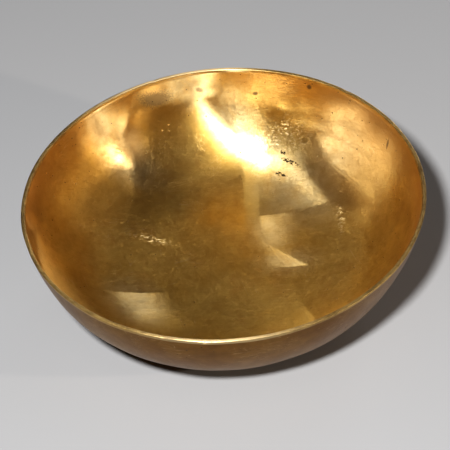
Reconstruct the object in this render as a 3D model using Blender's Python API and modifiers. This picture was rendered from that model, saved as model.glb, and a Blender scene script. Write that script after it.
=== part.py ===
"""A hand-beaten brass singing bowl: one thin shell of metal, with a filed rim and a flat foot.

Metres, +Z up. The origin is the centre of the flat foot that the bowl rests on, and the bowl's
axis is +Z. Run with: blender --background --python part.py
"""

import math

import bmesh
import bpy
from mathutils import Vector

# Driving dimensions
RIM_RADIUS = 0.100
HEIGHT = 0.0535
FOOT_RADIUS = 0.030
RIM_LAND = 0.0020  # width of the flat filed top of the rim
FOOT_THICKNESS = 0.0022
RIM_FLARE = math.radians(12.5)  # lean of the wall from vertical, at the rim

# How far the wall runs straight from the rim, and how far the floor runs flat from the foot,
# before each gives way to the round of the belly: the two handles of one Bezier curve.
WALL_PULL = 0.47 * RIM_RADIUS
FLOOR_PULL = 0.36 * RIM_RADIUS

RIM_ROUNDING = 0.0004  # radius that filing leaves on the rim's two edges
RIM_ROUNDING_STEPS = 2
SIDE_STEPS = 16  # straight steps along each side of the profile
TURN_STEPS = 96  # flats around the bowl
MERGE_DISTANCE = 0.00001

BRASS_COLOUR = (0.72, 0.47, 0.15, 1.0)
BRASS_ROUGHNESS = 0.30


def clear_scene():
    for old in list(bpy.data.objects):
        bpy.data.objects.remove(old, do_unlink=True)


def side_curve(rim_radius, floor_height):
    """Points (radius, height) of one side of the shell, from its rim down to the foot's edge."""
    rim = Vector((rim_radius, HEIGHT))
    foot = Vector((FOOT_RADIUS, floor_height))
    down_the_wall = Vector((-math.sin(RIM_FLARE), -math.cos(RIM_FLARE)))
    # The inner side is a little shallower than the outer one, and its handles are shorter by as much.
    share = (HEIGHT - floor_height) / HEIGHT
    wall_handle = rim + down_the_wall * WALL_PULL * share
    floor_handle = foot + Vector((FLOOR_PULL * share, 0))
    points = []
    for step in range(SIDE_STEPS + 1):
        t = step / SIDE_STEPS
        points.append(
            rim * (1 - t) ** 3
            + wall_handle * 3 * (1 - t) ** 2 * t
            + floor_handle * 3 * (1 - t) * t**2
            + foot * t**3
        )
    return points


def shell_profile():
    """Up the inner side from the axis, over the rim, and down the outer side to the axis."""
    inner = side_curve(RIM_RADIUS - RIM_LAND, FOOT_THICKNESS)
    outer = side_curve(RIM_RADIUS, 0)
    inner_centre = Vector((0, FOOT_THICKNESS))
    outer_centre = Vector((0, 0))
    return [inner_centre] + inner[::-1] + outer + [outer_centre]


def brass():
    material = bpy.data.materials.new("brass")
    material.use_nodes = True
    shader = material.node_tree.nodes["Principled BSDF"]
    shader.inputs["Base Color"].default_value = BRASS_COLOUR
    shader.inputs["Metallic"].default_value = 1.0
    shader.inputs["Roughness"].default_value = BRASS_ROUGHNESS
    material.diffuse_color = BRASS_COLOUR
    return material


def turned(name, profile, material, collection):
    """A solid of revolution about Z, from its profile in the XZ plane."""
    mesh = bpy.data.meshes.new(name)
    outline = bmesh.new()
    corners = [outline.verts.new((radius, 0, height)) for radius, height in profile]
    for start, end in zip(corners, corners[1:]):
        outline.edges.new((start, end))
    outline.to_mesh(mesh)
    outline.free()
    mesh.materials.append(material)
    shape = bpy.data.objects.new(name, mesh)
    collection.objects.link(shape)

    screw = shape.modifiers.new("turn", "SCREW")
    screw.axis = "Z"
    screw.steps = TURN_STEPS
    screw.render_steps = TURN_STEPS
    screw.use_merge_vertices = True
    screw.merge_threshold = MERGE_DISTANCE
    screw.use_smooth_shade = True
    return shape


def file_edges(shape):
    """Rounds the sharp edges of a turned shape; its gentle steps stay as they are."""
    bevel = shape.modifiers.new("filed_edges", "BEVEL")
    bevel.width = RIM_ROUNDING
    bevel.segments = RIM_ROUNDING_STEPS
    bevel.limit_method = "ANGLE"
    bevel.angle_limit = math.radians(40)


def main():
    clear_scene()
    collection = bpy.data.collections.new("singing_bowl")
    bpy.context.scene.collection.children.link(collection)
    bowl = turned("bowl", shell_profile(), brass(), collection)
    file_edges(bowl)


main()
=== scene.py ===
"""The visual model of a hand-beaten brass singing bowl, on a plain floor in studio light.

Metres, +Z up, in the frame of the CAD model: the bowl stands on its flat foot at the origin. Seen
from the camera, +X is to the right and +Y is away. Places in the materials are in rim radii.
"""

import math
from collections import namedtuple
from itertools import chain
from types import SimpleNamespace

import bmesh
import bpy
import numpy as np
from mathutils import Matrix, Vector

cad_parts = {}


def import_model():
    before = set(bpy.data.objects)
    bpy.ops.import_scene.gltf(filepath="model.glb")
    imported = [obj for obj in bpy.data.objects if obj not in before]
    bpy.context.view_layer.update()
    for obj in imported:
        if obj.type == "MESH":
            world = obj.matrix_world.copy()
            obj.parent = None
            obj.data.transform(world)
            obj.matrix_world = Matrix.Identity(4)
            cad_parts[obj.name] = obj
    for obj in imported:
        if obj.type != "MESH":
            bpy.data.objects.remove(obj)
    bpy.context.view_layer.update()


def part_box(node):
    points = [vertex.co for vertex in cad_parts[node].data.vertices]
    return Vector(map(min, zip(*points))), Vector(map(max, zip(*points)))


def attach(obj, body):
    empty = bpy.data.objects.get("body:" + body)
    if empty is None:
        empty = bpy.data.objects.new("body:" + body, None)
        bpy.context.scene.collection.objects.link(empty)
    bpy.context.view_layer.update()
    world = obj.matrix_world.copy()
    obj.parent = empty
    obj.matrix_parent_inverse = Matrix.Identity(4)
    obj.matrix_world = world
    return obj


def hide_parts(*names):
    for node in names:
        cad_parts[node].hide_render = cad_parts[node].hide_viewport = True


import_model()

# The bowl's profile, as in the CAD model
LOW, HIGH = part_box("bowl")
RIM_RADIUS = round((HIGH.x - LOW.x) / 2, 3)  # the box stops short of it, at the rim's rounded edge
HEIGHT = HIGH.z - LOW.z
FOOT_RADIUS = 0.030
RIM_LAND = 0.0020  # width of the flat filed top of the rim
FOOT_THICKNESS = 0.0022
RIM_FLARE = math.radians(12.5)  # lean of the wall from vertical, at the rim
WALL_PULL = 0.47 * RIM_RADIUS
FLOOR_PULL = 0.36 * RIM_RADIUS

# What handwork leaves on it
RIM_ROUNDING = 0.0005
OVAL = 0.00045  # how far the rim is out of round
OVAL_TURN = math.radians(35)
BELLY_SHIFT = 0.0007  # how far the belly leans towards -X
RIM_WAVE = 0.00025  # rise and fall of the rim
RIM_WAVE_COUNTS = (2, 3, 5, 7)  # waves in one turn of the rim
RIM_WAVE_START = 0.8 * HEIGHT  # below this, the wall doesn't follow the rim's wave
HAMMER_DEPTH = 0.00006
HAMMER_SPACING = (0.018, 0.050)  # shortest and longest wave left by the hammer
HAMMER_WAVES = 40
FOOT_BLEND = 0.012  # how far beyond the flat foot the hammer marks reach their full depth
NICKS = 11
NICK_WIDTH = 0.0016
NICK_DEPTH = 0.0003
NICK_REACH = 0.0030  # how far down from the rim a nick shows
SEED = 7

# Fineness of the mesh
TURN_STEPS = 480
INNER_STEPS = 100
OUTER_STEPS = 70
RIM_STEPS = 6
FLOOR_STEPS = 14
FOOT_STEPS = 8
AXIS_GAP = 0.0012  # radius of the hole that a fan of triangles closes, in the floor and in the foot
SIDES_END = HEIGHT - 1.3 * RIM_ROUNDING  # where both sides stop and the rounded rim begins

INSIDE, RIM, OUTSIDE = range(3)  # the mesh's material slots
UP = np.array((0.0, 0.0, 1.0))


def side_curve(rim_radius, floor_height, steps):
    """Points (radius, height) of one side of the shell, from the foot's edge up to its rim."""
    rim = np.array((rim_radius, HEIGHT))
    foot = np.array((FOOT_RADIUS, floor_height))
    down_the_wall = np.array((-math.sin(RIM_FLARE), -math.cos(RIM_FLARE)))
    # The inner side is a little shallower than the outer one, and its handles are shorter by as much.
    share = (HEIGHT - floor_height) / HEIGHT
    wall_handle = rim + down_the_wall * WALL_PULL * share
    floor_handle = foot + np.array((FLOOR_PULL * share, 0))
    t = np.linspace(0, 1, steps + 1)[:, None]
    return (
        foot * (1 - t) ** 3
        + floor_handle * 3 * (1 - t) ** 2 * t
        + wall_handle * 3 * (1 - t) * t**2
        + rim * t**3
    )


def rim_edge():
    """Points (radius, height) round the rim's inner edge, from the wall to its flat top."""
    start = RIM_RADIUS - RIM_LAND
    points = []
    for angle in np.linspace(0, math.pi / 2, RIM_STEPS + 1):
        points.append((
            start + RIM_ROUNDING * (1 - math.cos(angle)),
            HEIGHT - RIM_ROUNDING * (1 - math.sin(angle)),
        ))
    return points


def shell_profile():
    """Rows (radius, height) up the inside, over the rim and down the outside, and each row's slot."""
    inner = side_curve(RIM_RADIUS - RIM_LAND, FOOT_THICKNESS, INNER_STEPS)
    outer = side_curve(RIM_RADIUS, 0, OUTER_STEPS)[::-1]
    inner = inner[inner[:, 1] < SIDES_END]
    outer = outer[outer[:, 1] < SIDES_END]
    floor = [(r, FOOT_THICKNESS) for r in np.linspace(AXIS_GAP, FOOT_RADIUS, FLOOR_STEPS)[:-1]]
    foot = [(r, 0.0) for r in np.linspace(FOOT_RADIUS, AXIS_GAP, FOOT_STEPS)[1:]]
    edge = rim_edge()
    outer_edge = [(2 * RIM_RADIUS - RIM_LAND - r, z) for r, z in edge[::-1]]
    rows = [*floor, *inner, *edge, *outer_edge, *outer, *foot]
    row_slots = (
        [INSIDE] * (len(floor) + len(inner))
        + [RIM] * (len(edge) + len(outer_edge))
        + [OUTSIDE] * (len(outer) + len(foot))
    )
    return np.array(rows), np.array(row_slots)


def turned(rows):
    """The profile's rows turned about +Z, as an array of (row, step round the bowl, xyz)."""
    angles = np.arange(TURN_STEPS) * 2 * math.pi / TURN_STEPS
    grid = np.empty((len(rows), TURN_STEPS, 3))
    grid[..., 0] = rows[:, :1] * np.cos(angles)
    grid[..., 1] = rows[:, :1] * np.sin(angles)
    grid[..., 2] = rows[:, 1:2]
    return grid


def step_up(value, low, high):
    """0 up to low, 1 from high, and a smooth step between them."""
    t = np.clip((value - low) / (high - low), 0, 1)
    return t * t * (3 - 2 * t)


def hammering(points, rng):
    """A smooth uneven field over space, about -1 to 1, as overlapping hammer blows leave."""
    field = np.zeros(points.shape[:-1])
    for _ in range(HAMMER_WAVES):
        ahead = rng.normal(size=3)
        ahead /= np.linalg.norm(ahead)
        spacing = rng.uniform(*HAMMER_SPACING)
        field += np.cos(points @ ahead * (2 * math.pi / spacing) + rng.uniform(0, 2 * math.pi))
    return field / math.sqrt(HAMMER_WAVES / 2)


def wall_lean(radius):
    """The wall's slope angle at a radius, shared by both sides of the shell."""
    curve = side_curve(RIM_RADIUS, 0, 200)
    slope = np.arctan2(np.gradient(curve[:, 1]), np.gradient(curve[:, 0]))
    flat_until = FOOT_RADIUS - 0.001
    return np.interp(radius, np.r_[0, flat_until, curve[:, 0]], np.r_[0, 0, slope])


def hammer_marks(points, radius, outward, outside, rng):
    """How far the hammer moved each point, square to the sheet. The foot's underside stays flat."""
    blow = HAMMER_DEPTH * hammering(points, rng)
    blow = blow * np.where(outside, step_up(radius, FOOT_RADIUS, FOOT_RADIUS + FOOT_BLEND), 1.0)
    lean = wall_lean(radius)
    return blow[..., None] * (np.cos(lean)[..., None] * UP - np.sin(lean)[..., None] * outward)


def nick(angle, near_rim, outward, rng):
    """How far one small dent in the rim moved each point."""
    away = (angle - rng.uniform(-math.pi, math.pi) + math.pi) % (2 * math.pi) - math.pi
    dent = np.exp(-((away * RIM_RADIUS / NICK_WIDTH) ** 2)) * NICK_DEPTH * rng.uniform(0.3, 1.0)
    return (dent * near_rim)[..., None] * (0.8 * UP + rng.uniform(-0.6, 0.6) * outward)


def handwork(points, rows, row_slots):
    """Moves the turned points a little, so that the bowl is beaten and filed and not machined."""
    rng = np.random.default_rng(SEED)
    radius, height = rows[:, :1], rows[:, 1:2]
    angle = np.arctan2(points[..., 1], points[..., 0])
    outward = np.stack([np.cos(angle), np.sin(angle), np.zeros_like(angle)], axis=-1)
    outside = (row_slots == OUTSIDE)[:, None]
    moved = points + hammer_marks(points, radius, outward, outside, rng)

    oval = OVAL * np.cos(2 * (angle - OVAL_TURN)) * step_up(height, 0.0, HEIGHT)
    moved += oval[..., None] * outward
    belly = np.sin(math.pi * np.clip(height / HEIGHT, 0, 1)) ** 2
    moved[..., 0] -= BELLY_SHIFT * belly
    wave = sum(np.cos(k * angle + rng.uniform(0, 2 * math.pi)) / k for k in RIM_WAVE_COUNTS)
    moved[..., 2] += RIM_WAVE * wave * step_up(height, RIM_WAVE_START, HEIGHT)

    near_rim = step_up(height, HEIGHT - NICK_REACH, HEIGHT)
    for _ in range(NICKS):
        moved -= nick(angle, near_rim, outward, rng)
    return moved


def shell_faces(row_slots):
    """Faces between neighbouring rows, a fan at each end, and each face's material slot."""
    faces, slots = [], []
    for i in range(len(row_slots) - 1):
        low, high = i * TURN_STEPS, (i + 1) * TURN_STEPS
        slot = int(row_slots[i]) if row_slots[i] == row_slots[i + 1] else RIM
        for j in range(TURN_STEPS):
            k = (j + 1) % TURN_STEPS
            faces.append((low + j, low + k, high + k, high + j))
            slots.append(slot)
    last = (len(row_slots) - 1) * TURN_STEPS
    floor_centre = len(row_slots) * TURN_STEPS
    foot_centre = floor_centre + 1
    for j in range(TURN_STEPS):
        k = (j + 1) % TURN_STEPS
        faces += [(floor_centre, k, j), (foot_centre, last + j, last + k)]
        slots += [INSIDE, OUTSIDE]
    return faces, slots


def build_bowl():
    """One closed mesh with three material slots: the inside, the filed rim and the outside."""
    rows, row_slots = shell_profile()
    verts = handwork(turned(rows), rows, row_slots).reshape(-1, 3).tolist()
    floor_height = float(np.mean([z for _, _, z in verts[:TURN_STEPS]]))
    verts += [(0, 0, floor_height), (0, 0, 0)]
    faces, slots = shell_faces(row_slots)
    mesh = bpy.data.meshes.new("singing_bowl")
    mesh.from_pydata(verts, [], faces)
    mesh.polygons.foreach_set("material_index", slots)
    mesh.polygons.foreach_set("use_smooth", [True] * len(faces))
    made = bmesh.new()
    made.from_mesh(mesh)
    bmesh.ops.recalc_face_normals(made, faces=made.faces)
    made.to_mesh(mesh)
    made.free()
    bowl = bpy.data.objects.new("singing_bowl", mesh)
    bpy.context.collection.objects.link(bowl)
    return bowl


class Nodes:
    """Short calls that add shader nodes to one material and link them."""

    def __init__(self, material):
        material.use_nodes = True
        self.tree = material.node_tree
        self.shader = self.tree.nodes["Principled BSDF"]
        self.coords = self.add("TexCoord").outputs
        self.place = self.vector("MULTIPLY", self.coords["Object"], (1 / RIM_RADIUS,) * 3)
        x, y, z = self.split(self.place)
        self.level = self.join(x, y, 0.0)
        self.radius = self.vector("LENGTH", self.level)
        # Distance up the bowl from the middle of its floor, near enough, along any radius
        self.climb = self.math("ADD", self.radius, z)

    def add(self, kind, inputs=(), **settings):
        node = self.tree.nodes.new("ShaderNode" + kind)
        for name, value in settings.items():
            setattr(node, name, value)
        for key, value in dict(inputs).items():
            self.put(node.inputs[key], value)
        return node

    def put(self, socket, value):
        """Links a node's output to a socket, or sets the socket's own value."""
        if isinstance(value, bpy.types.NodeSocket):
            self.tree.links.new(value, socket)
        else:
            socket.default_value = value

    def math(self, operation, *values, clamp=False):
        return self.add("Math", enumerate(values), operation=operation, use_clamp=clamp).outputs[0]

    def vector(self, operation, *values):
        node = self.add("VectorMath", enumerate(values), operation=operation)
        scalar = operation in ("DOT_PRODUCT", "LENGTH")
        return node.outputs["Value" if scalar else "Vector"]

    def split(self, vector):
        return self.add("SeparateXYZ", {0: vector}).outputs

    def join(self, x, y, z):
        return self.add("CombineXYZ", {0: x, 1: y, 2: z}).outputs[0]

    def turn(self, vector, angle):
        numbers = {"Vector": vector, "Angle": angle}
        return self.add("VectorRotate", numbers, rotation_type="Z_AXIS").outputs[0]

    def remap(self, value, low, high, to_low=0.0, to_high=1.0):
        numbers = {0: value, 1: low, 2: high, 3: to_low, 4: to_high}
        return self.add("MapRange", numbers, interpolation_type="SMOOTHSTEP", clamp=True).outputs[0]

    def noise(self, vector, scale, detail=2.0, roughness=0.5):
        numbers = {"Vector": vector, "Scale": scale, "Detail": detail, "Roughness": roughness}
        return self.add("TexNoise", numbers).outputs["Fac"]

    def blotches(self, scale, low, high, detail=2.0, roughness=0.5):
        """0 where the noise over the bowl is below low, 1 where it is above high."""
        return self.remap(self.noise(self.place, scale, detail, roughness), low, high)

    def mix(self, share, a, b):
        return self.add("Mix", {0: share, 2: a, 3: b}, data_type="FLOAT").outputs[0]

    def mix_vector(self, share, a, b):
        return self.add("Mix", {0: share, 4: a, 5: b}, data_type="VECTOR").outputs[1]

    def mix_colour(self, share, a, b):
        return self.add("Mix", {0: share, 6: a, 7: b}, data_type="RGBA").outputs[2]

    def coat(self, colour, coats):
        """Lays coats of (mask, share, colour) over a colour, one after another."""
        for mask, share, over in coats:
            colour = self.mix_colour(self.math("MULTIPLY", mask, share), colour, over)
        return colour

    def pile(self, value, terms):
        """Adds terms of (mask, amount) to a value."""
        for mask, amount in terms:
            value = self.math("MULTIPLY_ADD", mask, amount, value)
        return value


def largest(n, masks):
    total = masks[0]
    for mask in masks[1:]:
        total = n.math("MAXIMUM", total, mask)
    return total


def patch(n, centre, size, turn, ragged, soft):
    """1 in an oval patch with a ragged edge, its centre and half sizes in rim radii from above."""
    offset = n.vector("SUBTRACT", n.level, (*centre, 0.0))
    scaled = n.vector("MULTIPLY", n.turn(offset, -math.radians(turn)), (1 / size[0], 1 / size[1], 0.0))
    uneven = n.math("MULTIPLY", n.math("SUBTRACT", n.noise(n.place, 1.6 / size[1], 3.0), 0.5), ragged)
    distance = n.math("ADD", n.vector("LENGTH", scaled), uneven)
    return n.remap(distance, 1 - soft, 1 + soft, 1.0, 0.0)


def patches(n, places, ragged, soft):
    return largest(n, [patch(n, *place, ragged, soft) for place in places])


def scratches(n, degrees, share, seed):
    """Hair-thin, nearly straight scratches along one direction, in some places only."""
    along, across, width = 2.0, 60.0, 0.028
    turned_place = n.turn(n.place, math.radians(degrees))
    stretched = n.vector("MULTIPLY_ADD", turned_place, (along, across, across), (seed, seed, 0.0))
    ridge = n.math("ABSOLUTE", n.math("SUBTRACT", n.noise(stretched, 1.0, 0.0), 0.5))
    line = n.remap(ridge, 0.0, width, 1.0, 0.0)
    shifted = n.vector("ADD", n.place, (seed, 0.0, seed))
    where = n.remap(n.noise(shifted, 5.0, 3.0), 1.0 - share, 1.04 - share)
    return n.math("MULTIPLY", line, where)


def scratched(n, directions, share):
    """Scratches along several directions, each with its own seed."""
    return largest(n, [scratches(n, degrees, share, seed) for seed, degrees in enumerate(directions)])


def pits(n, scale, share, where):
    """Small round corrosion pits, in a share of the cells of a grid of chance."""
    smallest, more, steepness = 0.06, 0.22, 1.6
    cell = n.add("TexVoronoi", {"Vector": n.place, "Scale": scale, "Randomness": 1.0}, feature="F1")
    size, chance, _ = n.split(cell.outputs["Color"])
    there = n.math("LESS_THAN", chance, n.math("MULTIPLY", where, share))
    reach = n.math("MULTIPLY_ADD", size, more, smallest)
    inside = n.math("SUBTRACT", 1.0, n.math("DIVIDE", cell.outputs["Distance"], reach), clamp=True)
    return n.math("MULTIPLY", n.math("MULTIPLY", inside, steepness, clamp=True), there)


def grain(n, across, fineness):
    """Fine lines, 0 to 1, from the distance across them. Along them they change slowly."""
    slowly = 3.0
    x, y, _ = n.split(n.place)
    across = n.math("MULTIPLY", across, fineness)
    lines = n.join(across, n.math("MULTIPLY", x, slowly), n.math("MULTIPLY", y, slowly))
    return n.noise(lines, 1.0, 4.0, 0.6)


MICROMETRE = 0.000001


def relief(n, heights):
    """Turns (mask, height in micrometres) pairs into the shader's normal."""
    total = None
    for mask, height in heights:
        raised = n.math("MULTIPLY", mask, height * MICROMETRE)
        total = raised if total is None else n.math("ADD", total, raised)
    bump = n.add("Bump", {"Height": total, "Strength": 1.0, "Distance": 1.0})
    n.put(n.shader.inputs["Normal"], bump.outputs[0])


HAZE_ROUGHNESS = 0.7  # of the thin film of wax and dust on the brass
QUARTER_TURN = 0.25  # from the tangent, which runs along the strokes: highlights spread across them


def new_metal(name, anisotropy, haze):
    """A polished metal under a film of haze; its colour, roughness, strokes and relief come later."""
    material = bpy.data.materials.new(name)
    n = Nodes(material)
    n.put(n.shader.inputs["Metallic"], 1.0)
    n.put(n.shader.inputs["Anisotropic"], anisotropy)
    n.put(n.shader.inputs["Anisotropic Rotation"], QUARTER_TURN)
    n.put(n.shader.inputs["Coat Weight"], haze)
    n.put(n.shader.inputs["Coat Roughness"], HAZE_ROUGHNESS)
    return material, n


# Polishing strokes. A zone is a patch of the bowl that its maker rubbed in one direction: straight,
# at an angle from +X seen from above, or else round the bowl, or spiralling by so many degrees from
# that. stray is the share of strokes that go any way, and share is how fully the zone covers what
# is under it.
Zone = namedtuple("Zone", "edges angle spiral stray share", defaults=(None, 0.0, 0.5, 1.0))
BRUSHED = 12.5  # the angle of most straight strokes, and of the fine lines on the floor
CELLS_PER_METRE = 9000.0
EDGE_WANDER = 0.014  # in rim radii

# Axes that zones are bounded along, as (x, y, distance from the bowl's axis)
RIGHT = (1, 0, 0)
BACK = (0, 1, 0)
OUTWARD = (0, 0, 1)
BACK_AND_LEFT = (-0.86, 0.51, 0)
RIGHT_AND_BACK = (0.89, 0.45, 0)


def before(axis, limit, soft):
    """An edge that keeps what lies short of a limit along an axis, and fades over soft each way."""
    return axis, limit, soft


def beyond(axis, limit, soft):
    """An edge that keeps what lies past a limit along an axis, and fades over soft each way."""
    return tuple(-part for part in axis), -limit, soft


# The inside's zones. A later one covers those before it.
INSIDE_ZONES = [
    # The floor, mostly rubbed every way
    Zone([before(OUTWARD, 0.74, 0.16)], angle=42, stray=0.72),
    # A soft sheen on the left of the floor
    Zone(
        [
            before(BACK, 0.57, 0.05), beyond(BACK, 0.26, 0.12),
            before(OUTWARD, 0.82, 0.08), before(RIGHT, -0.30, 0.10),
        ],
        angle=BRUSHED, stray=0.35,
    ),
    # The near wall, left and right, cleanly rubbed round the bowl
    Zone([beyond(OUTWARD, 0.70, 0.08), before(RIGHT, -0.50, 0.10), before(BACK, 0.28, 0.10)], stray=0.08),
    Zone([beyond(OUTWARD, 0.70, 0.10), beyond(RIGHT, 0.45, 0.10), before(BACK, 0.16, 0.10)], stray=0.16),
    # The right wall's lower part, and the wall above it
    Zone(
        [
            beyond(OUTWARD, 0.79, 0.04), beyond(RIGHT_AND_BACK, 0.755, 0.04),
            beyond(BACK, 0.28, 0.10), before(BACK, 0.62, 0.06),
        ],
        spiral=-52, stray=0.85,
    ),
    Zone(
        [beyond(OUTWARD, 0.86, 0.03), beyond(RIGHT, 0.52, 0.06), beyond(BACK, 0.30, 0.14)],
        spiral=-36, stray=0.74,
    ),
    # The slope at the left
    Zone(
        [
            before(BACK_AND_LEFT, 0.83, 0.04), before(RIGHT, -0.47, 0.08),
            beyond(BACK, 0.30, 0.12), beyond(OUTWARD, 0.66, 0.08),
        ],
        angle=68, stray=0.25,
    ),
    # The dark band to the right of the long streak
    Zone(
        [
            beyond(RIGHT_AND_BACK, 0.66, 0.04), before(RIGHT_AND_BACK, 0.765, 0.040),
            beyond(BACK, 0.30, 0.12),
        ],
        angle=150, stray=0.15,
    ),
    # The back left, up to the long streak, and its dark outer end
    Zone(
        [
            beyond(BACK, 0.38, 0.12), before(RIGHT, 0.16, 0.04),
            before(BACK_AND_LEFT, 0.817, 0.012), beyond(RIGHT, -0.50, 0.09),
        ],
        angle=BRUSHED, stray=0.08,
    ),
    Zone(
        [before(BACK_AND_LEFT, 0.817, 0.012), before(RIGHT, -0.40, 0.07), beyond(BACK, 0.755, 0.03)],
        angle=110, stray=0.15,
    ),
    # The back right, where the long streak runs on, and the dark band's upper end
    Zone(
        [beyond(BACK, 0.40, 0.008), beyond(RIGHT, 0.12, 0.04), before(RIGHT_AND_BACK, 0.65, 0.03)],
        angle=BRUSHED, stray=0.12,
    ),
    Zone(
        [
            beyond(RIGHT_AND_BACK, 0.61, 0.03), before(RIGHT_AND_BACK, 0.745, 0.03),
            beyond(BACK, 0.66, 0.04), before(OUTWARD, 0.925, 0.02),
        ],
        angle=3, stray=0.22,
    ),
    # The long streak's tail, mostly rubbed every way
    Zone(
        [
            beyond(BACK, 0.40, 0.008), before(BACK, 0.71, 0.05),
            beyond(RIGHT, 0.24, 0.05), before(RIGHT_AND_BACK, 0.645, 0.03),
        ],
        angle=BRUSHED, stray=0.84,
    ),
    # The floor beside the stripe
    Zone(
        [
            beyond(RIGHT, -0.14, 0.10), before(RIGHT, 0.115, 0.02),
            before(BACK, 0.70, 0.08), beyond(BACK, 0.34, 0.08),
        ],
        angle=78, stray=0.42,
    ),
    # The patch to the right of the floor's middle, and the point at its near right corner
    Zone(
        [
            beyond(BACK, -0.02, 0.04), before(BACK, 0.39, 0.008),
            beyond((0.96, 0.26, 0), 0.23, 0.06), before(RIGHT, 0.29, 0.09),
        ],
        angle=181, stray=0.5,
    ),
    Zone(
        [
            beyond(BACK, 0.0, 0.005), beyond((0.96, 0.26, 0), 0.25, 0.07),
            before((0.67, 0.74, 0), 0.27, 0.008),
        ],
        angle=176, stray=0.55,
    ),
    # The stripe down the floor
    Zone(
        [
            beyond(RIGHT, 0.12, 0.04), before(RIGHT, 0.185, 0.008),
            before(BACK, 0.56, 0.10), beyond(BACK, 0.33, 0.06),
        ],
        angle=9, stray=0.3,
    ),
    # The patch at the near left, and the faint one at the near right
    Zone(
        [
            before(BACK, -0.115, 0.006), beyond((0.91, 0.41, 0), -0.57, 0.07),
            before((0.96, 0.29, 0), -0.38, 0.07), beyond(BACK, -0.34, 0.11),
        ],
        angle=166, stray=0.60,
    ),
    Zone(
        [before((0.94, 0.34, 0), 0.24, 0.012), beyond(RIGHT, 0.14, 0.10), before(BACK, -0.14, 0.08)],
        angle=188, stray=0.6,
    ),
    # The back wall, and the band under the rim to its right
    Zone([beyond((0.52, 0.85, 0), 0.765, 0.03), before(RIGHT, 0.25, 0.05)], spiral=-4, stray=0.88),
    Zone([beyond(OUTWARD, 0.925, 0.015), beyond(RIGHT, 0.03, 0.05)], spiral=-4, stray=0.62),
    # Two bands high on the right wall
    Zone(
        [beyond(OUTWARD, 0.892, 0.012), beyond(RIGHT, 0.42, 0.10), beyond(BACK, 0.34, 0.14)],
        spiral=-26, stray=0.66,
    ),
    Zone(
        [
            beyond(OUTWARD, 0.925, 0.012), beyond(RIGHT, 0.38, 0.14),
            beyond(BACK, 0.45, 0.14), before(RIGHT, 0.76, 0.06),
        ],
        spiral=-18, stray=0.62,
    ),
    # A small golden spot on the wall at the back right
    Zone(
        [
            before((0.93, 0.36, 0), 0.805, 0.025), beyond((0.93, 0.36, 0), 0.74, 0.02),
            beyond(BACK, 0.56, 0.05),
        ],
        angle=97, stray=0.5, share=0.6,
    ),
    # Under the rim at the back left, and further round to the left
    Zone(
        [beyond(OUTWARD, 0.940, 0.008), before(RIGHT, 0.02, 0.05), before(BACK_AND_LEFT, 0.817, 0.012)],
        spiral=5, stray=0.12,
    ),
    Zone(
        [
            beyond(OUTWARD, 0.88, 0.04), beyond(BACK_AND_LEFT, 0.817, 0.012),
            beyond(BACK, 0.60, 0.08), beyond(RIGHT, -0.70, 0.05),
        ],
        spiral=15, stray=0.3,
    ),
    # The hot spot on the wall at the back left
    Zone(
        [
            before(RIGHT, -0.46, 0.02), beyond(BACK, 0.665, 0.02),
            before(BACK, 0.74, 0.02), beyond(RIGHT, -0.66, 0.04),
        ],
        angle=44, stray=0.06, share=0.85,
    ),
]

# The rim's zones: filed all round, and worn smooth at the front and at the back, where the rim is also
# painted lighter as a highlight
WORN_RIM = [
    Zone(
        [before(RIGHT, 0.22, 0.20), beyond(RIGHT, -0.36, 0.18), before(BACK, 0, 0.1)],
        angle=174, stray=0.35,
    ),
    Zone(
        [before(RIGHT, 0.18, 0.15), beyond(RIGHT, -0.60, 0.15), beyond(BACK, 0, 0.1)],
        angle=172, stray=0.10,
    ),
]
RIM_ZONES = [Zone([beyond(OUTWARD, 0, 0.1)], angle=174, stray=0.85), *WORN_RIM]


def stroke_side(degrees):
    """The level direction across strokes that run at this angle from +X, seen from above."""
    angle = math.radians(degrees)
    return (math.sin(angle), -math.cos(angle), 0.0)


def zone_mask(n, place, edges):
    """1 inside a zone's edges, at a place given as (x, y, distance from the bowl's axis)."""
    mask = None
    for axis, limit, soft in edges:
        along = n.vector("DOT_PRODUCT", place, axis)
        inside = n.remap(along, limit - soft, limit + soft, 1.0, 0.0)
        mask = inside if mask is None else n.math("MULTIPLY", mask, inside)
    return mask


def layers_of(n, zones):
    """Yields (mask, zone) pairs; the zones' edges wander a little, as a hand does.

    A pair is made when it is asked for, so a mask's nodes come right before those that use it.
    """
    wander = n.add("TexNoise", {"Vector": n.place, "Scale": 7.0}).outputs["Color"]
    wander = n.vector("MULTIPLY", n.vector("SUBTRACT", wander, (0.5, 0.5, 0.5)), (EDGE_WANDER,) * 3)
    x, y, _ = n.split(n.level)
    place = n.vector("ADD", n.join(x, y, n.radius), wander)
    for zone in zones:
        yield n.math("MULTIPLY", zone_mask(n, place, zone.edges), zone.share), zone


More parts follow.
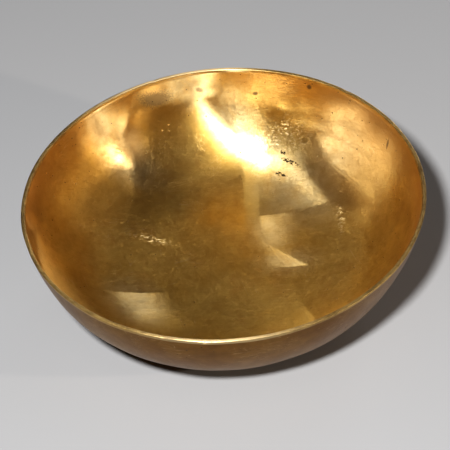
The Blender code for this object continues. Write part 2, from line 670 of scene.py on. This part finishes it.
def strokes(n, layers, jitter, stray):
    """The direction of the fine polishing strokes.

    They run round the bowl, but straight or spiralling where a layer says so. Every cell, far
    finer than the eye sees, picks one layer's strokes, or a stray direction.
    """
    cells = n.vector("FLOOR", n.vector("MULTIPLY", n.coords["Object"], (CELLS_PER_METRE,) * 3))
    chance = n.add("TexWhiteNoise", {"Vector": cells})
    draw_stray, draw_layer, draw_turn = n.split(chance.outputs["Color"])
    round_side = n.vector("NORMALIZE", n.level)
    side, spiral = round_side, 0.0
    for mask, zone in layers:
        picked = n.math("GREATER_THAN", mask, draw_layer)
        zone_side = round_side if zone.angle is None else stroke_side(zone.angle)
        side = n.mix_vector(picked, side, zone_side)
        spiral = n.mix(picked, spiral, math.radians(zone.spiral))
        stray = n.mix(picked, stray, zone.stray)
    turn = n.math("MULTIPLY", n.math("SUBTRACT", n.noise(n.place, 5.0), 0.5), jitter)
    strayed = n.math("MULTIPLY", n.math("SUBTRACT", draw_turn, 0.5), math.pi)
    strayed = n.math("MULTIPLY", strayed, n.math("LESS_THAN", draw_stray, stray))
    turn = n.math("ADD", n.math("ADD", turn, spiral), strayed)
    return n.vector("CROSS_PRODUCT", n.coords["Normal"], n.turn(side, turn))


# Marks on the inside: centre and half sizes in rim radii, seen from above, and turn in degrees
BLACK_MARKS = [
    ((0.365, 0.670), (0.055, 0.008), -34),
    ((0.310, 0.625), (0.034, 0.009), -27),
    ((0.330, 0.720), (0.018, 0.007), -30),
]
RIM_SMUDGES = [
    ((-0.31, 0.900), (0.085, 0.012), 16),
    ((-0.08, 0.950), (0.022, 0.004), 0),
    ((0.21, 0.920), (0.014, 0.003), -10),
    ((0.49, 0.840), (0.012, 0.003), -30),
    ((0.855, 0.42), (0.006, 0.010), -25),
]
# Paler, smoother patches where the highlights fall: polished brass, and partly a painted highlight
BURNISHED_AND_PAINTED_HIGHLIGHT = [
    ((-0.52, 0.71), (0.17, 0.09), -20),
    ((0.16, 0.80), (0.36, 0.08), -38),
    ((0.40, 0.52), (0.22, 0.16), -50),
    ((-0.48, -0.20), (0.16, 0.12), -60),
    ((0.60, 0.61), (0.14, 0.10), -40),
    ((-0.12, 0.96), (0.16, 0.04), 5),
]
# Paler patches under the highlights on the floor's right: painted highlight
PAINTED_HIGHLIGHT_PATCHES = [
    ((0.30, 0.04), (0.14, 0.08), 0),
    ((0.23, 0.27), (0.10, 0.13), 0),
]
# Rougher patches, tinted peach where the sheen reflected between the walls falls: dull brass, and a
# painted reflection
DULLED_AND_PEACH_SHEEN = [
    ((0.78, 0.60), (0.22, 0.30), 0),
    ((-0.63, 0.73), (0.05, 0.04), 40),
    ((-0.45, 0.76), (0.05, 0.05), 0),
]
RUBBED = [  # each with the strokes that made it
    (((-0.38, 0.27), (0.11, 0.022), -20), Zone((), angle=172, stray=0.1)),
    (((0.36, 0.76), (0.10, 0.06), -25), Zone((), angle=136, stray=0.6)),
    (((0.59, 0.25), (0.02, 0.09), 0), Zone((), angle=22, stray=0.5)),
]

# Colours of the inside
OCHRE = (0.60, 0.370, 0.085, 1)
GOLD = (0.74, 0.500, 0.145, 1)
# Paler gold of the polished patches, which also stands in part for a painted highlight
BURNISHED_GOLD_AND_PAINTED_HIGHLIGHT = (0.86, 0.72, 0.42, 1)
# painted highlight
PAINTED_HIGHLIGHT_GOLD = (0.78, 0.64, 0.36, 1)
MOTTLE_BROWN = (0.50, 0.295, 0.065, 1)
TARNISH_BROWN = (0.52, 0.275, 0.060, 1)
# painted reflection: the peach sheen between the walls
PAINTED_PEACH_SHEEN = (0.80, 0.56, 0.25, 1)
SPOT_BROWN = (0.24, 0.135, 0.035, 1)
WIPED_BROWN = (0.46, 0.270, 0.060, 1)
RIM_ORANGE = (0.56, 0.310, 0.095, 1)
SMUDGE_BROWN = (0.16, 0.10, 0.045, 1)
SCRATCH_GOLD = (0.90, 0.74, 0.45, 1)
FLECK_GOLD = (0.90, 0.76, 0.48, 1)
PIT_BLACK = (0.08, 0.05, 0.02, 1)
MARK_BLACK = (0.015, 0.010, 0.006, 1)

POLISH_LINES = 110.0  # fineness of the lines that polishing left
WIPED_LINES = 150.0  # and of those that wiping left, from side to side
LATHE_RINGS = 105  # rings in one rim radius of climb
SCRATCH_DIRECTIONS = (12, 75, 128, 164)


def rubbed_layers(n):
    """The small rubbed spots, broken into short flecks, as (mask, zone) pairs."""
    flecks = n.noise(n.vector("MULTIPLY", n.place, (48.0, 150.0, 150.0)), 1.0, 3.0, 0.7)
    flecks = n.remap(flecks, 0.55, 0.63)
    return [(n.math("MULTIPLY", patch(n, *place, 1.6, 0.6), flecks), zone) for place, zone in RUBBED]


def inside_marks(n):
    """Masks of what work, use and time left on the inside, and of the patches that paint highlights and
    sheen in paler and peach colours: 0 to 1, and -1 to 1 for the lathe's rings.

    None of them reads a zone: a bump works out its height three times, and the zones are too many
    for that. So the lines are straight on the floor and level on the wall, in every zone.
    """
    on_floor = n.vector("DOT_PRODUCT", n.level, stroke_side(BRUSHED))
    lines = n.mix(
        n.remap(n.radius, 0.90, 0.94), grain(n, on_floor, POLISH_LINES), grain(n, n.climb, POLISH_LINES)
    )
    fine = scratched(n, SCRATCH_DIRECTIONS, 0.38)
    _, y, _ = n.split(n.place)
    wiped = n.math("MULTIPLY", grain(n, y, WIPED_LINES), n.remap(n.climb, 0.75, 1.05, 1.0, 0.3))
    ragged = n.blotches(85.0, 0.46, 0.52, 4.0, 0.7)
    worn_wall = n.math("ADD", n.remap(n.climb, 0.85, 1.30), 0.25)
    spots = n.blotches(48.0, 0.60, 0.66, 6.0, 0.75)
    rings = n.math("SINE", n.math("MULTIPLY", n.climb, 2 * math.pi * LATHE_RINGS))
    near_rim = n.math("MULTIPLY", n.remap(n.climb, 1.20, 1.32), n.noise(n.place, 3.0))
    return SimpleNamespace(
        lines=lines,
        fine=fine,
        wiped=wiped,
        black=n.math("MULTIPLY", patches(n, BLACK_MARKS, 1.2, 0.3), ragged),
        smudge=patches(n, RIM_SMUDGES, 1.2, 0.5),
        pitted=pits(n, 55.0, 0.26, n.math("MULTIPLY", n.noise(n.place, 3.0, 2.0), worn_wall)),
        # where the highlights fall: polished, and partly painted highlight
        bright=patches(n, BURNISHED_AND_PAINTED_HIGHLIGHT, 0.4, 0.8),
        # under the highlights on the floor's right: painted highlight
        painted_highlight=patches(n, PAINTED_HIGHLIGHT_PATCHES, 0.4, 0.8),
        # rougher, and tinted peach where the walls' reflected sheen falls: painted reflection
        dull=patches(n, DULLED_AND_PEACH_SHEEN, 0.4, 0.8),
        cloud=n.blotches(2.6, 0.35, 0.65, 5.0, 0.6),
        mottle=n.blotches(20.0, 0.40, 0.66, 8.0, 0.75),
        tarnish=n.blotches(5.5, 0.50, 0.68, 8.0, 0.7),
        spots=n.math("MULTIPLY", spots, n.blotches(4.0, 0.45, 0.65, 3.0)),
        rings=n.math("MULTIPLY", rings, near_rim),
    )


def inside_metal():
    """Bright brass, polished in straight patches by hand, with stains, pits and scratches."""
    material, n = new_metal("brass_inside", 0.93, 0.12)
    rubbed = rubbed_layers(n)
    flecks = largest(n, [mask for mask, _ in rubbed])
    n.put(n.shader.inputs["Tangent"], strokes(n, chain(layers_of(n, INSIDE_ZONES), rubbed), 0.15, 0.45))
    marks = inside_marks(n)
    colour = n.coat(n.mix_colour(marks.cloud, OCHRE, GOLD), [
        # paler where the highlights fall: polished brass, and partly painted highlight
        (marks.bright, 0.7, BURNISHED_GOLD_AND_PAINTED_HIGHLIGHT),
        # paler under the highlights on the floor's right: painted highlight
        (marks.painted_highlight, 0.6, PAINTED_HIGHLIGHT_GOLD),
        (marks.mottle, 0.40, MOTTLE_BROWN),
        (marks.tarnish, 0.45, TARNISH_BROWN),
        # peach where the walls' reflected sheen falls: painted reflection, on rougher brass
        (marks.dull, 0.6, PAINTED_PEACH_SHEEN),
        (marks.spots, 0.40, SPOT_BROWN),
        (marks.wiped, 0.45, WIPED_BROWN),
        (n.remap(n.climb, 1.15, 1.50), n.remap(marks.bright, 0.0, 1.0, 0.6, 0.0), RIM_ORANGE),
        (marks.smudge, 0.75, SMUDGE_BROWN),
        (marks.fine, 0.16, SCRATCH_GOLD),
        (flecks, 0.5, FLECK_GOLD),
        (marks.pitted, 0.85, PIT_BLACK),
        (marks.black, 0.95, MARK_BLACK),
    ])
    n.put(n.shader.inputs["Base Color"], colour)
    rough = n.pile(n.math("MULTIPLY_ADD", n.noise(n.place, 9.0, 4.0), 0.16, 0.32), [
        (marks.lines, 0.05),
        (marks.wiped, 0.05),
        (marks.bright, -0.09),
        (marks.dull, 0.25),
        (marks.mottle, 0.04),
        (largest(n, [marks.black, marks.pitted, marks.smudge]), 0.25),
    ])
    n.put(n.shader.inputs["Roughness"], rough)
    relief(n, [
        (marks.lines, 50),
        (marks.wiped, 30),
        (marks.fine, -10),
        (marks.pitted, -120),
        (marks.black, -60),
        (marks.rings, 6),
    ])
    return material


# Colours of the outside
PATINA_BROWN = (0.185, 0.080, 0.010, 1)
PATINA_AMBER = (0.255, 0.125, 0.020, 1)
PATINA_DARK = (0.140, 0.062, 0.008, 1)
FOOT_GOLD = (0.60, 0.42, 0.19, 1)
OUTER_SCRATCH = (0.52, 0.35, 0.16, 1)
OUTER_PIT = (0.06, 0.04, 0.02, 1)

LATHE_LINES = 70.0
OUTER_SCRATCH_DIRECTIONS = (5, 95, 150)


def outside_metal():
    """Brown, dull brass: turned level lines under a patina, which is worn thin under the foot."""
    material, n = new_metal("brass_outside", 0.5, 0.02)
    n.put(n.shader.inputs["Tangent"], strokes(n, [], 0.3, 0.4))
    lines = grain(n, n.climb, LATHE_LINES)
    cloud = n.blotches(2.6, 0.35, 0.65, 5.0, 0.6)
    mottle = n.blotches(18.0, 0.35, 0.70, 6.0, 0.7)
    fine = scratched(n, OUTER_SCRATCH_DIRECTIONS, 0.45)
    pitted = pits(n, 45.0, 0.25, n.noise(n.place, 3.0, 2.0))
    on_foot = n.remap(n.radius, 0.27, 0.33, 1.0, 0.0)
    colour = n.coat(n.mix_colour(cloud, PATINA_BROWN, PATINA_AMBER), [
        (mottle, 0.5, PATINA_DARK),
        (on_foot, 0.5, FOOT_GOLD),
        (fine, 0.35, OUTER_SCRATCH),
        (pitted, 0.8, OUTER_PIT),
    ])
    n.put(n.shader.inputs["Base Color"], colour)
    rough = n.math("MULTIPLY_ADD", n.noise(n.place, 9.0, 4.0), 0.16, 0.28)
    n.put(n.shader.inputs["Roughness"], n.pile(rough, [(pitted, 0.2)]))
    relief(n, [(lines, 40), (fine, -10), (pitted, -100)])
    return material


FILED_GOLD = (0.52, 0.345, 0.125, 1)
FILED_BROWN = (0.30, 0.185, 0.065, 1)
# Lighter gold at the rim's front and back: worn brass, and partly a painted highlight
WORN_GOLD_AND_PAINTED_HIGHLIGHT = (0.66, 0.50, 0.27, 1)


def rim_metal():
    """The filed top of the rim: fine uneven marks, brown where it is dull, and lighter gold at the front
    and back, where it is worn and partly a painted highlight.
    """
    material, n = new_metal("brass_rim", 0.9, 0.1)
    n.put(n.shader.inputs["Tangent"], strokes(n, layers_of(n, RIM_ZONES), 0.3, 0.4))
    # No edge of the worn zones lies along OUTWARD, so a place without that distance will do.
    worn = largest(n, [zone_mask(n, n.level, zone.edges) for zone in WORN_RIM])
    marks = n.noise(n.place, 90.0, 4.0, 0.7)
    dull = n.blotches(7.0, 0.45, 0.65, 5.0, 0.65)
    # Lighter at the front and back: worn, and partly a painted highlight
    colour = n.coat(n.mix_colour(dull, FILED_GOLD, FILED_BROWN), [(worn, 0.8, WORN_GOLD_AND_PAINTED_HIGHLIGHT)])
    n.put(n.shader.inputs["Base Color"], colour)
    n.put(n.shader.inputs["Roughness"], n.math("MULTIPLY_ADD", marks, 0.16, 0.36))
    relief(n, [(marks, 50)])
    return material


# The camera, its lengths in rim radii from the centre of the rim
CAMERA_ELEVATION = math.radians(42.342)
CAMERA_DISTANCE = 12.340
CAMERA_ROLL = math.radians(-4.473)
CAMERA_AIM = (-0.0015, 0.0, -0.1908)
CAMERA_LENS = 200.0
CAMERA_SENSOR = 36.0

RIM_CENTRE = Vector((0, 0, HEIGHT))


def camera():
    e = CAMERA_ELEVATION
    place = RIM_CENTRE + RIM_RADIUS * CAMERA_DISTANCE * Vector((0, -math.cos(e), math.sin(e)))
    aim = RIM_CENTRE + RIM_RADIUS * Vector(CAMERA_AIM)
    turn = (aim - place).normalized().to_track_quat("-Z", "Y").to_matrix().to_4x4()
    data = bpy.data.cameras.new("camera")
    data.lens = CAMERA_LENS
    data.sensor_width = CAMERA_SENSOR
    cam = bpy.data.objects.new("camera", data)
    cam.matrix_world = Matrix.Translation(place) @ turn @ Matrix.Rotation(CAMERA_ROLL, 4, "Z")
    bpy.context.collection.objects.link(cam)
    bpy.context.scene.camera = cam


FLOOR_HALF_WIDTH = 3.0
FLOOR_GREY = (0.38, 0.38, 0.385, 1)
FLOOR_ROUGHNESS = 0.9


def plain_floor():
    w = FLOOR_HALF_WIDTH
    mesh = bpy.data.meshes.new("floor")
    mesh.from_pydata([(-w, -w, 0), (w, -w, 0), (w, w, 0), (-w, w, 0)], [], [(0, 1, 2, 3)])
    floor = bpy.data.objects.new("floor", mesh)
    bpy.context.collection.objects.link(floor)
    grey = bpy.data.materials.new("floor")
    grey.use_nodes = True
    shader = grey.node_tree.nodes["Principled BSDF"]
    shader.inputs["Base Color"].default_value = FLOOR_GREY
    shader.inputs["Roughness"].default_value = FLOOR_ROUGHNESS
    mesh.materials.append(grey)


def direction(azimuth, elevation):
    """A unit vector; azimuth 0 is +Y, away from the camera, and 90 is +X."""
    a, e = math.radians(azimuth), math.radians(elevation)
    return Vector((math.sin(a) * math.cos(e), math.cos(a) * math.cos(e), math.sin(e)))


WHITE = (1, 1, 1)
WARM = (1.0, 0.88, 0.76)
LIGHTS = [
    # name, place in rim radii from the rim's centre, width in metres, power in watts, colour
    ("key", Vector((-1.82, -7.2, 9.25)), 0.12, 20.0, WHITE),
    ("lamp", direction(113, 15) * 12, 0.04, 4.0, WARM),
    ("back_fill", direction(25, 7) * 14, 0.5, 5.0, WHITE),
]
ROOM_GREY = (0.025, 0.025, 0.027, 1)


def area_light(name, place, size, power, colour):
    """A round soft light that points at the rim's centre."""
    data = bpy.data.lights.new(name, "AREA")
    data.energy = power
    data.color = colour
    data.shape = "DISK"
    data.size = size
    light = bpy.data.objects.new(name, data)
    light.location = RIM_CENTRE + RIM_RADIUS * place
    light.rotation_mode = "QUATERNION"
    light.rotation_quaternion = (RIM_CENTRE - light.location).to_track_quat("-Z", "Y")
    bpy.context.collection.objects.link(light)


def studio():
    for light in LIGHTS:
        area_light(*light)
    world = bpy.data.worlds.new("room")
    bpy.context.scene.world = world
    world.use_nodes = True
    world.node_tree.nodes["Background"].inputs["Color"].default_value = ROOM_GREY
    bpy.context.scene.view_settings.view_transform = "Standard"
    bpy.context.scene.view_settings.look = "Medium High Contrast"


def main():
    bowl = build_bowl()
    for material in (inside_metal(), rim_metal(), outside_metal()):
        bowl.data.materials.append(material)
    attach(bowl, "root")
    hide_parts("bowl")
    plain_floor()
    camera()
    studio()


main()
